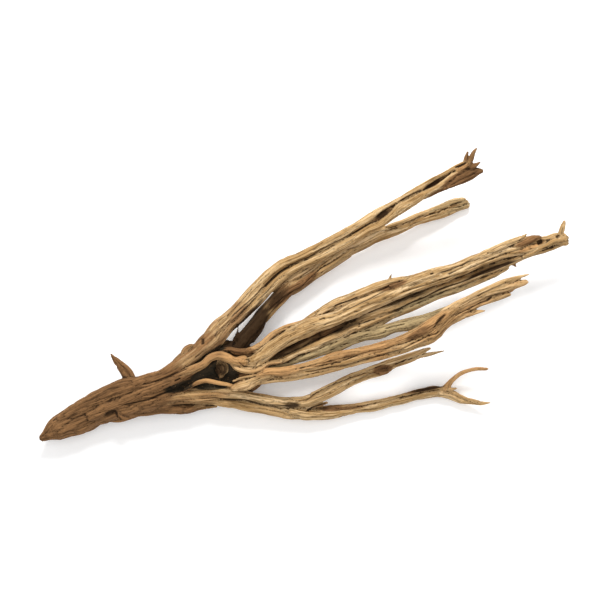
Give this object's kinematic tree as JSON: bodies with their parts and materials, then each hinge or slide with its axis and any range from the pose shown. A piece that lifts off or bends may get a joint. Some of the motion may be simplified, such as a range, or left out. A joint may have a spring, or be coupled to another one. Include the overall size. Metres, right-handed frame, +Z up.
{
  "type": "piece of driftwood",
  "caption": "Long weathered driftwood branch: a tapered trunk that splits into a fan of bare, stringy arms, lying flat on a surface.",
  "frame": {"origin": "middle of the outline, on the surface that the wood lies on", "axes": "+X along the wood from the trunk's tip to the ends of the arms, +Z up from the surface, +Y towards the high arm"},
  "size_m": [0.709, 0.301, 0.1043],
  "materials": {
    "weathered_wood": "bare, bleached and weathered wood: tan with orange and grey strands, dark cracks and hollows, and brown bark left on the trunk"
  },
  "bodies": {
    "root": {"driftwood": "weathered_wood"}
  },
  "joints": []
}
